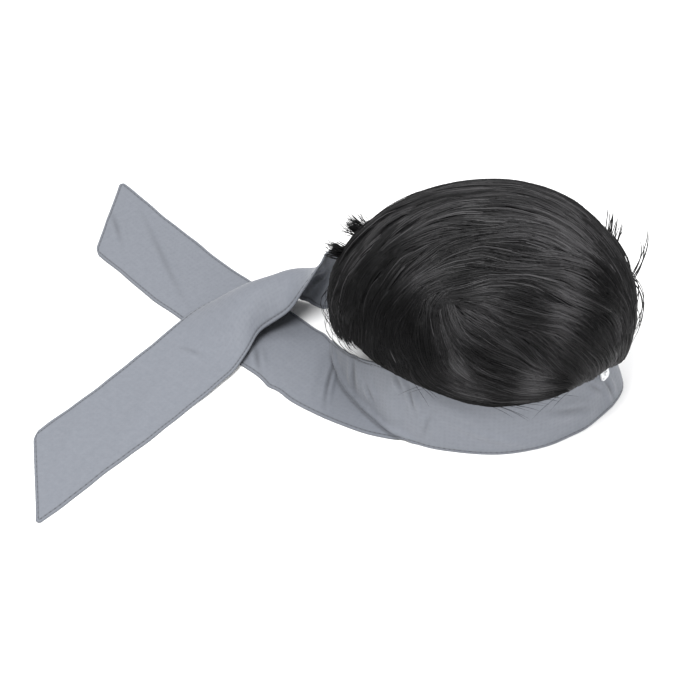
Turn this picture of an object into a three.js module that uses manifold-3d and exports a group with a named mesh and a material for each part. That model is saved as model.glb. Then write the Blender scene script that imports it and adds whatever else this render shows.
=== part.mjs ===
// Short swept-back black wig with a grey sash tied round its hairline.
// The wig stands upright: the sash is a ring on its lower edge, the cap sits on the ring, and the hair covers
// both. Millimetres, +Z up. +X is the wig's front, and the two ends of the sash cross behind it and lie on the
// surface.
import * as THREE from "three";
import Module from "manifold-3d";

const wasm = await Module();
wasm.setup();

// Driving dimensions
const GAP = 0.4; // between pieces that touch
const HEAD_CENTRE_X = -3; // middle of the head, from the middle of the sash ring

const SASH = {
  width: 68, thick: 1.6, startSkew: 32, endSkew: 28, skewReach: 90, bend: 0.3, steps: 97, across: 7, fine: 24,
};
const CAP = { wall: 1.5, front: 94, back: 96, side: 78, midZ: 92, above: 58, below: 80, around: 36, up: 8 };
const HAIR = {
  front: 102, back: 116.5, side: 88, midZ: 78, above: 87, around: 36, up: 9, skirt: 2.5, inside: 0.8,
};
const LOCK = {
  count: 15, steps: 9, sides: 4, height: 4.5, under: 0.5, clear: 1.4, sink: 1.2, overlap: 1.0, narrow: 8, wide: 40,
};
const NAPE = { from: 146, to: 206, around: 9, up: 6, below: 2, out: 114, tuck: 20, lock: 20, gap: 0.7 };
const SNAP = {
  section: 17.72, across: -0.05, side: 9.8, round: 3, thick: 1.2, hole: 0.8, pitch: 5.8, stud: 2.1, high: 2.2,
};

// Sections of the sash, from the tip that lies in front, round the far side, front and near side, to the other
// tip. x and y place the middle of the strip. lean turns it from standing (0) to lying flat (90), its upper edge
// falling towards facing, an angle in plan. lift holds it off the surface and bulge arches it outwards. flat is
// the share of the strip, from its lower edge, that lies on the surface up to a crease, above which it leans.
const SASH_SECTIONS = [
  { x: -323, y: -98, lift: 0, lean: 90, facing: -40, bulge: 0, flat: 0 },
  { x: -287, y: -56, lift: 0, lean: 90, facing: -40, bulge: 0, flat: 0 },
  { x: -251, y: -14, lift: 0, lean: 90, facing: -40, bulge: 0, flat: 0 },
  { x: -215, y: 30, lift: 2.6, lean: 90, facing: -40, bulge: 0, flat: 0 },
  { x: -184, y: 68, lift: 2.6, lean: 83, facing: -58, bulge: 18, flat: 0 },
  { x: -154, y: 76, lift: 1.5, lean: 68, facing: -76, bulge: 24, flat: 0 },
  { x: -134, y: 74, lift: 0, lean: 35, facing: -93, bulge: 20, flat: 0 },
  { x: -124, y: 74, lift: 0, lean: 18, facing: -93, bulge: 11, flat: 0 },
  { x: -113, y: 79, lift: 0, lean: 9, facing: -93, bulge: 3, flat: 0 },
  { x: -66, y: 70, lift: 0, lean: 0, facing: -100, bulge: 0, flat: 0 },
  { x: -34, y: 65, lift: 0, lean: 0, facing: -93, bulge: 0, flat: 0 },
  { x: 0, y: 71, lift: 0, lean: 0, facing: -90, bulge: 0, flat: 0 },
  { x: 34, y: 62, lift: 0, lean: 4, facing: -109, bulge: 0, flat: 0 },
  { x: 58, y: 43, lift: 0, lean: 10, facing: -131, bulge: 0, flat: 0 },
  { x: 73, y: 25, lift: 0, lean: 14, facing: -143, bulge: 0, flat: 0 },
  { x: 82, y: 11, lift: 0, lean: 15, facing: -158, bulge: 0, flat: 0 },
  { x: 85, y: 0, lift: 0, lean: 15, facing: -180, bulge: 0, flat: 0 },
  { x: 82, y: -11, lift: 0, lean: 15, facing: -202, bulge: 0, flat: 0 },
  { x: 73, y: -25, lift: 0, lean: 14, facing: -217, bulge: 0, flat: 0 },
  { x: 58, y: -43, lift: 0, lean: 10, facing: -229, bulge: 0, flat: 0 },
  { x: 34, y: -62, lift: 0, lean: 4, facing: -251, bulge: 0, flat: 0 },
  { x: 0, y: -72, lift: 0, lean: 0, facing: -270, bulge: 0, flat: 0 },
  { x: -40, y: -66, lift: 0, lean: 2, facing: -282, bulge: 0, flat: 0 },
  { x: -64, y: -57, lift: 0, lean: 1, facing: -287, bulge: 0, flat: 0.18 },
  { x: -76, y: -52, lift: 0, lean: 1, facing: -290, bulge: 0, flat: 0.27 },
  { x: -96, y: -36, lift: 0, lean: 4, facing: -296, bulge: 0, flat: 0.48 },
  { x: -110, y: -23, lift: 0, lean: 4, facing: -303, bulge: 0, flat: 0.62 },
  { x: -121, y: -10, lift: 0, lean: 6, facing: -310, bulge: 0, flat: 0.75 },
  { x: -129, y: 3, lift: 0, lean: 6, facing: -312, bulge: 0, flat: 0.9 },
  { x: -137, y: 17, lift: 0, lean: 6, facing: -313, bulge: 0, flat: 1.05 },
  { x: -145, y: 30, lift: 0, lean: 45, facing: -315, bulge: 0, flat: 1.3 },
  { x: -157, y: 42, lift: 0, lean: 90, facing: -318, bulge: 0, flat: 1.3 },
  { x: -198, y: 87, lift: 0, lean: 90, facing: -318, bulge: 0, flat: 1.3 },
  { x: -226, y: 116, lift: 0, lean: 90, facing: -318, bulge: 0, flat: 1.3 },
  { x: -252, y: 146, lift: 0, lean: 90, facing: -318, bulge: 0, flat: 1.3 },
  { x: -291, y: 193, lift: 0, lean: 90, facing: -318, bulge: 0, flat: 1.3 },
];

// Folds in the sash: where each lies along it (share of its length) and across it (-1 lower edge, 1 upper
// edge), its turn from crosswise in degrees, how far it runs, how broad it is and how high it stands.
const SASH_FOLDS = [
  { along: 0.768, across: 0, turn: -41, run: 26, broad: 8, high: 2.2 },
  { along: 0.712, across: 0.4, turn: -5, run: 20, broad: 8, high: 2.4 },
  { along: 0.69, across: 0, turn: -10, run: 22, broad: 9, high: 2 },
  { along: 0.545, across: -0.7, turn: 30, run: 14, broad: 9, high: 1.4 },
  { along: 0.5, across: -0.7, turn: -20, run: 14, broad: 8, high: 1.2 },
];

// Height of the hair's lower edge and of the cap's edge round the head, and the hair's reach at its lower
// edge. azimuth is measured from the front to either side.
const EDGE = [
  { azimuth: 0, hairZ: 39, reach: 95, capZ: 68.4 },
  { azimuth: 16, hairZ: 45.5, reach: 94, capZ: 68.4 },
  { azimuth: 30, hairZ: 53.5, reach: 87, capZ: 68.4 },
  { azimuth: 47, hairZ: 54, reach: 81, capZ: 68.4 },
  { azimuth: 65, hairZ: 52, reach: 78, capZ: 68.4 },
  { azimuth: 88, hairZ: 50, reach: 77.5, capZ: 68.4 },
  { azimuth: 104, hairZ: 53, reach: 78, capZ: 69 },
  { azimuth: 116, hairZ: 60, reach: 80, capZ: 76 },
  { azimuth: 128, hairZ: 70, reach: 88, capZ: 84 },
  { azimuth: 140, hairZ: 78.5, reach: 98, capZ: 88 },
  { azimuth: 152, hairZ: 86, reach: 106, capZ: 86 },
  { azimuth: 166, hairZ: 91, reach: 112, capZ: 70 },
  { azimuth: 180, hairZ: 89, reach: 114, capZ: 68.4 },
];

// The flow of the hair, from the far side over the top to the near side. Each row is one lock's course as
// azimuth and elevation on the head, in degrees: from the hairline it rises, sweeps back over the top and falls
// to its tip.
const FLOW_STATIONS = ["hairline", "rise", "front", "top", "back", "turn", "fall", "curl", "tip"];
const FLOW = [
  [[58, -57], [66, -14], [80, -4], [95, 0], [110, 3], [122, 6], [132, 8], [140, 9], [146, 8]],
  [[34, -57], [42, 0], [60, 18], [88, 26], [114, 24], [134, 18], [147, 12], [154, 8], [158, 4]],
  [[8, -58], [16, 10], [42, 34], [80, 44], [118, 42], [144, 30], [158, 18], [165, 9], [169, 3]],
  [[-16, -58], [-12, 18], [18, 46], [72, 62], [134, 60], [162, 44], [175, 26], [180, 12], [184, 3]],
  [[-25, -58], [-22, 20], [-8, 52], [60, 80], [178, 68], [188, 46], [194, 26], [198, 13], [200, 4]],
  [[-31, -58], [-31, 20], [-36, 50], [-84, 77], [-150, 66], [-164, 46], [-166, 26], [-161, 12], [-154, 5]],
  [[-37, -58], [-42, 14], [-56, 42], [-92, 60], [-130, 56], [-150, 40], [-150, 18], [-138, -2], [-118, -22]],
  [[-44, -58], [-50, 8], [-66, 36], [-94, 51], [-122, 49], [-138, 34], [-134, 12], [-116, -8], [-88, -32]],
  [[-52, -57], [-58, 2], [-74, 28], [-96, 41], [-116, 44], [-122, 34], [-114, 18], [-97, 4], [-72, -24]],
  [[-61, -57], [-66, -10], [-76, 13], [-90, 28], [-104, 37], [-110, 32], [-104, 20], [-90, 4], [-66, -32]],
  [[-70, -57], [-75, -20], [-84, 4], [-93, 18], [-101, 27], [-102, 25], [-95, 12], [-82, -6], [-66, -42]],
];

// Courses of the hanging nape locks: azimuth, height of the tip and how far the tip flicks out.
const NAPE_TIPS = [
  { azimuth: 150, tipZ: 64, flick: 14 },
  { azimuth: 159, tipZ: 57, flick: 9 },
  { azimuth: 168, tipZ: 50, flick: 0 },
  { azimuth: 177, tipZ: 55, flick: -1 },
  { azimuth: 186, tipZ: 60, flick: 0 },
  { azimuth: 194, tipZ: 64, flick: 0 },
  { azimuth: 202, tipZ: 74, flick: -1 },
];

const MATERIALS = {
  hair: new THREE.MeshStandardMaterial({ color: 0x17171a, roughness: 0.42, metalness: 0 }),
  cap: new THREE.MeshStandardMaterial({ color: 0x1c1c1f, roughness: 0.9, metalness: 0 }),
  cloth: new THREE.MeshStandardMaterial({ color: 0x989ca4, roughness: 0.85, metalness: 0 }),
  plastic: new THREE.MeshStandardMaterial({ color: 0xe4e8ea, roughness: 0.2, metalness: 0 }),
};

const UP = new THREE.Vector3(0, 0, 1);
const radians = THREE.MathUtils.degToRad;
const clamp = THREE.MathUtils.clamp;
const lerp = THREE.MathUtils.lerp;
const smooth = THREE.MathUtils.smoothstep;
const vector = (x, y, z) => new THREE.Vector3(x, y, z);

// Catmull-Rom value at position t of a list of numbers, one unit apart.
function spline(values, t) {
  const last = values.length - 1;
  const i = clamp(Math.floor(t), 0, last - 1);
  const f = t - i;
  const [a, b, c, d] = [i - 1, i, i + 1, i + 2].map((k) => values[clamp(k, 0, last)]);
  return 0.5 * (2 * b + (c - a) * f + (2 * a - 5 * b + 4 * c - d) * f * f + (3 * b - a - 3 * c + d) * f ** 3);
}

// Straight-line value of a table's column at a given key.
function lookUp(table, key, column, at) {
  const above = table.findIndex((row) => row[key] > at);
  const i = above < 0 ? table.length - 1 : Math.max(above, 1);
  const [a, b] = [table[i - 1], table[i]];
  return lerp(a[column], b[column], clamp((at - a[key]) / (b[key] - a[key]), 0, 1));
}

// One closed geometry from triangles given by their corners; triangles with no area are left out.
function closedGeometry(triangles) {
  const ids = new Map();
  const positions = [];
  const index = [];
  const idOf = (p) => {
    const key = p.toArray().map((value) => Math.round(value * 1000)).join();
    if (!ids.has(key)) {
      ids.set(key, ids.size);
      positions.push(p.x, p.y, p.z);
    }
    return ids.get(key);
  };
  for (const corners of triangles) {
    const triangle = corners.map(idOf);
    if (new Set(triangle).size === 3) index.push(...triangle);
  }
  const geometry = new THREE.BufferGeometry();
  geometry.setAttribute("position", new THREE.Float32BufferAttribute(positions, 3));
  geometry.setIndex(index);
  return geometry;
}

// Triangles of a sheet of points, sheet[i][j], facing out when i runs to the right and j runs up.
function sheetTriangles(sheet, flip = false) {
  const made = [];
  for (let i = 0; i + 1 < sheet.length; i++) {
    for (let j = 0; j + 1 < sheet[i].length; j++) {
      const [a, b, c, d] = [sheet[i][j], sheet[i + 1][j], sheet[i + 1][j + 1], sheet[i][j + 1]];
      made.push(flip ? [a, c, b] : [a, b, c], flip ? [a, d, c] : [a, c, d]);
    }
  }
  return made;
}

// A wall between an outer and an inner sheet. A wall that closes on itself along i has no end strips.
function wall(outer, inner, closes = false) {
  const last = outer.length - 1;
  const lower = outer.map((column, i) => [inner[i][0], column[0]]);
  const upper = outer.map((column, i) => [column.at(-1), inner[i].at(-1)]);
  const ends = closes ? [] : [[inner[0], outer[0]], [outer[last], inner[last]]];
  return closedGeometry([outer, lower, upper, ...ends].flatMap((sheet) => sheetTriangles(sheet))
    .concat(sheetTriangles(inner, true)));
}

function trianglesOf(geometry) {
  const flat = (geometry.index ? geometry.toNonIndexed() : geometry).getAttribute("position");
  const corner = (i) => new THREE.Vector3().fromBufferAttribute(flat, i);
  const triangle = (_, i) => [0, 1, 2].map((k) => corner(3 * i + k));
  return Array.from({ length: flat.count / 3 }, triangle);
}

// manifold-3d solids from geometries, and back
function solid(geometry) {
  return new wasm.Manifold(new wasm.Mesh({
    numProp: 3,
    vertProperties: new Float32Array(geometry.getAttribute("position").array),
    triVerts: new Uint32Array(geometry.index.array),
  }));
}

function geometryOf(made) {
  const mesh = made.getMesh();
  const geometry = new THREE.BufferGeometry();
  geometry.setAttribute("position", new THREE.BufferAttribute(new Float32Array(mesh.vertProperties), 3));
  geometry.setIndex(new THREE.BufferAttribute(new Uint32Array(mesh.triVerts), 1));
  geometry.computeVertexNormals();
  return geometry;
}

const fuse = (solids) => solids.reduce((all, next) => all.add(next));
const largest = (made) => made.decompose().reduce((a, b) => (a.volume() > b.volume() ? a : b));

function mesh(name, geometry, material) {
  const made = new THREE.Mesh(geometry, material);
  made.name = name;
  return made;
}

// Radius in plan of an egg-shaped outline at an azimuth, with its own length to the front and to the back.
function planRadius({ front, back, side }, azimuth) {
  const along = Math.cos(azimuth) > 0 ? front : back;
  return 1 / Math.hypot(Math.cos(azimuth) / along, Math.sin(azimuth) / side);
}

function onHead(azimuth, radius, z) {
  return vector(HEAD_CENTRE_X + radius * Math.cos(azimuth), radius * Math.sin(azimuth), z);
}

function edgeAt(azimuth, column) {
  const fromFront = Math.abs(THREE.MathUtils.euclideanModulo(azimuth + Math.PI, 2 * Math.PI) - Math.PI);
  return lookUp(EDGE, "azimuth", column, THREE.MathUtils.radToDeg(fromFront));
}

// The cap's outer face, grown outwards; elevation is an angle on its own ellipsoid.
function capPoint(azimuth, elevation, grow = 0) {
  const height = elevation > 0 ? CAP.above : CAP.below;
  const radius = (planRadius(CAP, azimuth) + grow) * Math.cos(elevation);
  return onHead(azimuth, radius, CAP.midZ + (height + (elevation > 0 ? grow : 0)) * Math.sin(elevation));
}

function capElevationAt(z) {
  return Math.asin(clamp((z - CAP.midZ) / (z > CAP.midZ ? CAP.above : CAP.below), -1, 1));
}

// The hair's outer face at an elevation; below the widest line it rounds under to its lower edge.
function hairPoint(azimuth, elevation, grow = 0) {
  const wide = planRadius(HAIR, azimuth) + grow;
  if (elevation > 0) {
    return onHead(azimuth, wide * Math.cos(elevation), HAIR.midZ + (HAIR.above + grow) * Math.sin(elevation));
  }
  const edgeZ = edgeAt(azimuth, "hairZ");
  const reach = Math.min(edgeAt(azimuth, "reach"), wide) + grow;
  const down = clamp(-elevation / (Math.PI / 3), 0, 1);
  const edge = Math.min(edgeZ, HAIR.midZ);
  return onHead(azimuth, reach + (wide - reach) * Math.sqrt(1 - down * down), lerp(HAIR.midZ, edge, down));
}

// Lowest elevation of the hair at an azimuth: below the widest line the whole rounding, above it the edge's
// height.
function hairEdgeElevation(azimuth) {
  const z = edgeAt(azimuth, "hairZ");
  return z < HAIR.midZ ? -Math.PI / 3 : Math.asin((z - HAIR.midZ) / HAIR.above);
}

function around(count, from = 0, to = 2 * Math.PI) {
  return Array.from({ length: count + 1 }, (_, i) => lerp(from, to, i / count));
}

// Sash
function sashSection(t) {
  return Object.fromEntries(Object.keys(SASH_SECTIONS[0]).map((column) => [
    column, spline(SASH_SECTIONS.map((row) => row[column]), t)]));
}

function sashMiddle(t) {
  const { x, y } = sashSection(t);
  return vector(x, y, 0);
}

function sashHeading(t) {
  const ahead = sashMiddle(Math.min(t + 0.02, SASH_SECTIONS.length - 1));
  return ahead.sub(sashMiddle(Math.max(t - 0.02, 0))).normalize();
}

// Table position of points spaced evenly along the sash, with the strip's length.
function sashSpacing() {
  const fine = around(SASH_SECTIONS.length * 20, 0, SASH_SECTIONS.length - 1);
  const lengths = [0];
  fine.slice(1).forEach((t, i) => lengths.push(lengths[i] + sashMiddle(t).distanceTo(sashMiddle(fine[i]))));
  const table = fine.map((t, i) => ({ length: lengths[i], t }));
  return { table, total: lengths.at(-1) };
}

function foldHeight(along, across, total) {
  return SASH_FOLDS.reduce((sum, fold) => {
    const dx = (along - fold.along) * total;
    const dy = ((across - fold.across) * SASH.width) / 2;
    const turn = radians(fold.turn);
    const lengthwise = dy * Math.cos(turn) - dx * Math.sin(turn);
    const sideways = dx * Math.cos(turn) + dy * Math.sin(turn);
    return sum + fold.high * Math.exp(-((lengthwise / fold.run) ** 2) - (sideways / fold.broad) ** 2);
  }, 0);
}

// Lean of the sash at a place across it: flat below the crease, the section's own above it.
function leanAt({ lean, flat }, across) {
  const lying = 1 - smooth((across + 1) / 2, flat - SASH.bend, flat);
  return radians(lerp(clamp(lean, 0, 90), 90, lying));
}

// How far the sash runs inwards and up from its lower edge to a place across it.
function sashRun(section, across, chord) {
  const step = (across + 1) / SASH.fine;
  const middles = Array.from({ length: SASH.fine }, (_, i) => leanAt(section, -1 + (i + 0.5) * step));
  const sum = (part) => middles.reduce((total, lean) => total + (part(lean) * step * chord) / 2, 0);
  return { inwards: sum(Math.sin), up: sum(Math.cos) };
}

// A point of the sash's middle surface and its outward normal; across runs from -1, lower edge, to 1, upper
// edge.
function sashPoint(t, across, lift) {
  const section = sashSection(t);
  const lean = leanAt(section, across);
  const facing = radians(section.facing);
  const inward = vector(Math.cos(facing), Math.sin(facing), 0);
  const rise = inward.clone().multiplyScalar(Math.sin(lean)).addScaledVector(UP, Math.cos(lean));
  const outward = inward.clone().multiplyScalar(-Math.cos(lean)).addScaledVector(UP, Math.sin(lean));
  const bulge = Math.max(section.bulge, 0);
  const chord = SASH.width * (1 - (8 / 3) * (bulge / SASH.width) ** 2);
  const low = Math.max(section.lift, 0) + (SASH.thick / 2) * Math.sin(leanAt(section, -1));
  const run = sashRun(section, across, chord);
  const point = vector(section.x, section.y, low + run.up);
  point.addScaledVector(inward, run.inwards - sashRun(section, 1, chord).inwards / 2);
  point.addScaledVector(outward, bulge * (1 - across * across) + lift);
  return { point, outward, rise };
}

function makeSash() {
  const { table, total } = sashSpacing();
  const faces = { outer: [], inner: [] };
  for (const share of around(SASH.steps, 0, 1)) {
    const columns = { outer: [], inner: [] };
    for (const across of around(SASH.across, -1, 1)) {
      const fromStart = share * total;
      const fromEnd = total - fromStart;
      const startSkew = SASH.startSkew * across * (1 - smooth(fromStart, 0, SASH.skewReach));
      const endSkew = SASH.endSkew * across * (1 - smooth(fromEnd, 0, SASH.skewReach));
      const along = fromStart - startSkew + endSkew;
      const beyond = along < 0 ? along : Math.max(along - total, 0);
      const t = lookUp(table, "length", "t", clamp(along, 0, total));
      const { point, outward } = sashPoint(t, across, foldHeight(along / total, across, total));
      point.addScaledVector(sashHeading(t), beyond);
      columns.outer.push(point.clone().addScaledVector(outward, SASH.thick / 2));
      columns.inner.push(point.clone().addScaledVector(outward, -SASH.thick / 2));
    }
    faces.outer.push(columns.outer);
    faces.inner.push(columns.inner);
  }
  return mesh("sash", wall(faces.inner, faces.outer), MATERIALS.cloth);
}

// Cap: a hollow wall from its edge to the top
function makeCap() {
  const face = (grow) => around(CAP.around).map((azimuth) => {
    const lowest = capElevationAt(edgeAt(azimuth, "capZ"));
    return around(CAP.up, lowest, Math.PI / 2).map((elevation) => capPoint(azimuth, elevation, grow));
  });
  return mesh("wig_cap", wall(face(0), face(-CAP.wall), true), MATERIALS.cap);
}

// The hair's backing: a hollow wall round the cap that hangs over the sash as a skirt.
function hairBacking(grow = 0) {
  const outer = around(HAIR.around).map((azimuth) => {
    const lowest = hairEdgeElevation(azimuth);
    return around(HAIR.up, lowest, Math.PI / 2).map((elevation) => hairPoint(azimuth, elevation, grow));
  });
  const inner = around(HAIR.around).map((azimuth) => {
    const edgeZ = edgeAt(azimuth, "hairZ");
    const capZ = Math.max(edgeAt(azimuth, "capZ"), edgeZ);
    const rim = edgeZ < capZ
      ? onHead(azimuth, Math.min(edgeAt(azimuth, "reach"), planRadius(HAIR, azimuth)) - HAIR.skirt, edgeZ)
      : capPoint(azimuth, capElevationAt(edgeZ), HAIR.inside);
    const above = around(HAIR.up - 1, capElevationAt(capZ + 0.5), Math.PI / 2)
      .map((elevation) => capPoint(azimuth, elevation, HAIR.inside));
    return [rim, ...above];
  });
  return solid(wall(outer, inner, true));
}

// Direction on the head of flow line g (0 far side, 1 near side) at share u of its course.
function flowDirection(g, u) {
  const onRow = (row, station, axis) => {
    const directions = row.map(([azimuth, elevation]) => {
      const [a, e] = [radians(azimuth), radians(elevation)];
      return [Math.cos(e) * Math.cos(a), Math.cos(e) * Math.sin(a), Math.sin(e)][axis];
    });
    return spline(directions, station * (FLOW_STATIONS.length - 1));
  };
  const acrossRows = (axis) => spline(FLOW.map((row) => onRow(row, u, axis)), g * (FLOW.length - 1));
  const [x, y, z] = [0, 1, 2].map(acrossRows);
  return vector(x, y, z).normalize();
}

function flowPoint(g, u, grow = 0) {
  const direction = flowDirection(g, u);
  const azimuth = Math.atan2(direction.y, direction.x);
  const elevation = Math.max(Math.asin(direction.z), hairEdgeElevation(azimuth));
  return hairPoint(azimuth, elevation, grow);
}

// A lock: a flattened tapering strip along a course of points, each with its outward direction and width.
function lock(course, grow = 0) {
  const rings = course.map(({ point, out, width, height }, i) => {
    const next = course[Math.min(i + 1, course.length - 1)].point;
    const before = course[Math.max(i - 1, 0)].point;
    const side = next.clone().sub(before).cross(out).normalize();
    return around(LOCK.sides, 0, 2 * Math.PI).map((angle) => point.clone()
      .addScaledVector(side, (width / 2 + grow) * Math.cos(angle))
      .addScaledVector(out, (height + grow) * Math.sin(angle) * (angle > Math.PI ? LOCK.under : 1)));
  });
  const cap = (ring, flip) => {
    const total = ring.slice(1).reduce((sum, p) => sum.add(p), vector(0, 0, 0));
    const middle = total.divideScalar(ring.length - 1);
    return ring.slice(1).map((p, i) => (flip ? [middle, p, ring[i]] : [middle, ring[i], p]));
  };
  return solid(closedGeometry([
    ...sheetTriangles(rings), ...cap(rings[0], false), ...cap(rings.at(-1), true)]));
}

// Courses of the crown's locks, one for each flow line.
function crownCourses() {
  return around(LOCK.count - 1, 0.5 / LOCK.count, 1 - 0.5 / LOCK.count).map((g) => {
    const half = 0.5 / LOCK.count;
    return around(LOCK.steps, 0.04, 0.96).map((u, i, all) => {
      const spread = flowPoint(Math.min(g + half, 1), u).distanceTo(flowPoint(Math.max(g - half, 0), u));
      const taper = Math.sqrt(Math.sin(Math.PI * lerp(0.06, 0.96, i / (all.length - 1))));
      const point = flowPoint(g, u, -LOCK.sink);
      const out = flowPoint(g, u, 1).sub(flowPoint(g, u, -1)).normalize();
      const width = clamp(spread * LOCK.overlap, LOCK.narrow, LOCK.wide) * taper;
      return { point, out, width, height: LOCK.height * taper };
    });
  });
}

// Nape: a short hanging wall behind the cap, with locks that end below it
function napeRadius(azimuth, z) {
  const wide = planRadius({ front: NAPE.out, back: NAPE.out, side: 84 }, azimuth);
  return wide - NAPE.tuck * (1 - smooth(z, 36, 76)) - 3 * smooth(z, 76, 92);
}

function napeBacking() {
  const azimuths = around(NAPE.around, radians(NAPE.from), radians(NAPE.to));
  const lowAt = (azimuth) => lookUp(NAPE_TIPS, "azimuth", "tipZ", THREE.MathUtils.radToDeg(azimuth)) + 8;
  const topAt = (azimuth) => edgeAt(azimuth, "hairZ") - NAPE.below;
  const heights = (azimuth) => around(NAPE.up, lowAt(azimuth), topAt(azimuth));
  const column = (azimuth, place) => heights(azimuth).map((z) => place(azimuth, z));
  const outer = azimuths.map((azimuth) => column(azimuth, (a, z) => onHead(a, napeRadius(a, z), z)));
  const inner = azimuths.map((azimuth) => column(azimuth, (a, z) =>
    capPoint(a, capElevationAt(Math.max(z, edgeAt(a, "capZ"))), GAP).setZ(z)));
  return solid(wall(outer, inner));
}

function napeCourses() {
  return NAPE_TIPS.map(({ azimuth, tipZ, flick }) => {
    const a = radians(azimuth);
    return around(8, 0, 1).map((down) => {
      const z = lerp(edgeAt(a, "hairZ") - 10, tipZ, down);
      const radius = napeRadius(a, z) + flick * down ** 3 - 1.5;
      const taper = Math.sqrt(1 - 0.9 * down ** 3);
      const out = onHead(a, 1, 0).sub(onHead(a, 0, 0));
      return { point: onHead(a, radius, z), out, width: NAPE.lock * taper, height: 5 * taper };
    });
  });
}

// The head's form inside the hair's backing, closed below, that no lock enters.
function headForm(grow) {
  const lowest = capElevationAt(CAP.midZ - 24);
  const face = around(CAP.around).map((azimuth) => {
    const side = around(CAP.up, lowest, Math.PI / 2).map((elevation) => capPoint(azimuth, elevation, grow));
    return [onHead(azimuth, 0, 0), capPoint(azimuth, lowest, grow).setZ(0), ...side];
  });
  return solid(closedGeometry(sheetTriangles(face)));
}

function makeHair() {
  const courses = crownCourses();
  const locks = fuse(courses.map((course) => lock(course))).subtract(headForm(LOCK.clear));
  const crown = fuse([hairBacking(), locks]);
  const keepOut = fuse([hairBacking(NAPE.gap), ...courses.map((course) => lock(course, NAPE.gap))]);
  const nape = fuse([napeBacking(), ...napeCourses().map((course) => lock(course))]).subtract(keepOut);
  return [
    mesh("crown_hair", geometryOf(largest(crown)), MATERIALS.hair),
    mesh("nape_hair", geometryOf(largest(nape)), MATERIALS.hair),
  ];
}

// Clear plastic snap on the sash's outer face: a sewn-on plate with four holes and a stud
function makeSnap() {
  const corner = SNAP.side / 2 - SNAP.round;
  const outline = new THREE.Shape();
  [[1, 1], [-1, 1], [-1, -1], [1, -1]].forEach(([x, y], i) => {
    const turn = (i * Math.PI) / 2;
    outline.absarc(x * corner, y * corner, SNAP.round, turn, turn + Math.PI / 2);
    const hole = new THREE.Path();
    hole.absarc((x * SNAP.pitch) / 2, (y * SNAP.pitch) / 2, SNAP.hole, 0, 2 * Math.PI, true);
    outline.holes.push(hole);
  });
  const flatPlate = { depth: SNAP.thick, bevelEnabled: false, curveSegments: 3 };
  const plate = new THREE.ExtrudeGeometry(outline, flatPlate);
  const stud = new THREE.CylinderGeometry(SNAP.stud * 0.8, SNAP.stud, SNAP.high, 12);
  stud.rotateX(Math.PI / 2).translate(0, 0, SNAP.high / 2 + SNAP.thick / 2);
  const solids = [plate, stud].map((geometry) => solid(closedGeometry(trianglesOf(geometry))));
  const made = geometryOf(fuse(solids));
  const { point, rise } = sashPoint(SNAP.section, SNAP.across, SASH.thick / 2 + GAP);
  const outward = rise.clone().cross(sashHeading(SNAP.section));
  const sideways = rise.clone().cross(outward);
  made.applyMatrix4(new THREE.Matrix4().makeBasis(sideways, rise, outward).setPosition(point));
  return mesh("snap_fastener", made, MATERIALS.plastic);
}

const pieces = new THREE.Group();
pieces.add(makeSash(), makeCap(), ...makeHair(), makeSnap());
const box = new THREE.Box3().setFromObject(pieces);
pieces.position.set(-(box.min.x + box.max.x) / 2, -(box.min.y + box.max.y) / 2, -box.min.z);

const wig = new THREE.Group();
wig.add(pieces);

export default wig;
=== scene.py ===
"""Looks of the swept-back black wig and its grey sash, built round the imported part.

Shapes are worked out in millimetres in the wig's own frame, whose origin lies on the floor in the middle of
the sash ring, with +X to the wig's front and +Z up. scene_points() turns them into the scene's metres. Places
on the head are given as azimuth, from the front towards the far side, and elevation. The tables hold degrees,
and the functions work in radians.
"""
import math
from types import SimpleNamespace as Values

import bmesh
import bpy
import numpy as np
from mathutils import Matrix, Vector


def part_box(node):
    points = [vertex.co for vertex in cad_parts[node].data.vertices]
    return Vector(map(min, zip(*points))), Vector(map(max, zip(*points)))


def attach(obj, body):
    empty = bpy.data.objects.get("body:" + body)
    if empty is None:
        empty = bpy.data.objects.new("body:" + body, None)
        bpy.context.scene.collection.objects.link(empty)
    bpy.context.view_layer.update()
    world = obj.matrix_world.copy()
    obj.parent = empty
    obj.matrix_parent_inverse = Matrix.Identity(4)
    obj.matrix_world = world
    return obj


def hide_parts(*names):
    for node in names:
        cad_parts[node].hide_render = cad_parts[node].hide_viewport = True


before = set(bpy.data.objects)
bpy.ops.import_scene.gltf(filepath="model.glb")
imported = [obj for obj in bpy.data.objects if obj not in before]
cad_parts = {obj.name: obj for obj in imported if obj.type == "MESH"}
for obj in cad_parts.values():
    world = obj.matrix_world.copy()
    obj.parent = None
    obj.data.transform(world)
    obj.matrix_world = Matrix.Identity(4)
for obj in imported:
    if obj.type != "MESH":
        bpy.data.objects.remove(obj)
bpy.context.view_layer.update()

MM = 0.001
UP = np.array([0.0, 0.0, 1.0])

# Sizes shared with the part's solids
HEAD_X = -3.0
SASH = Values(width=68.0, thick=1.6, start_skew=32.0, end_skew=28.0, skew_reach=90.0)
CAP = Values(wall=1.5, front=94.0, back=96.0, side=78.0, mid_z=92.0, above=58.0, below=80.0)
HAIR = Values(front=102.0, back=116.5, side=88.0, mid_z=78.0, above=87.0, skirt=2.5, inside=0.8)
NAPE = Values(
    start=146.0, end=206.0, out=114.0, side=84.0,
    tuck=20.0, tuck_z=(36.0, 76.0), top_in=3.0, top_z=(76.0, 92.0),
)

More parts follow.
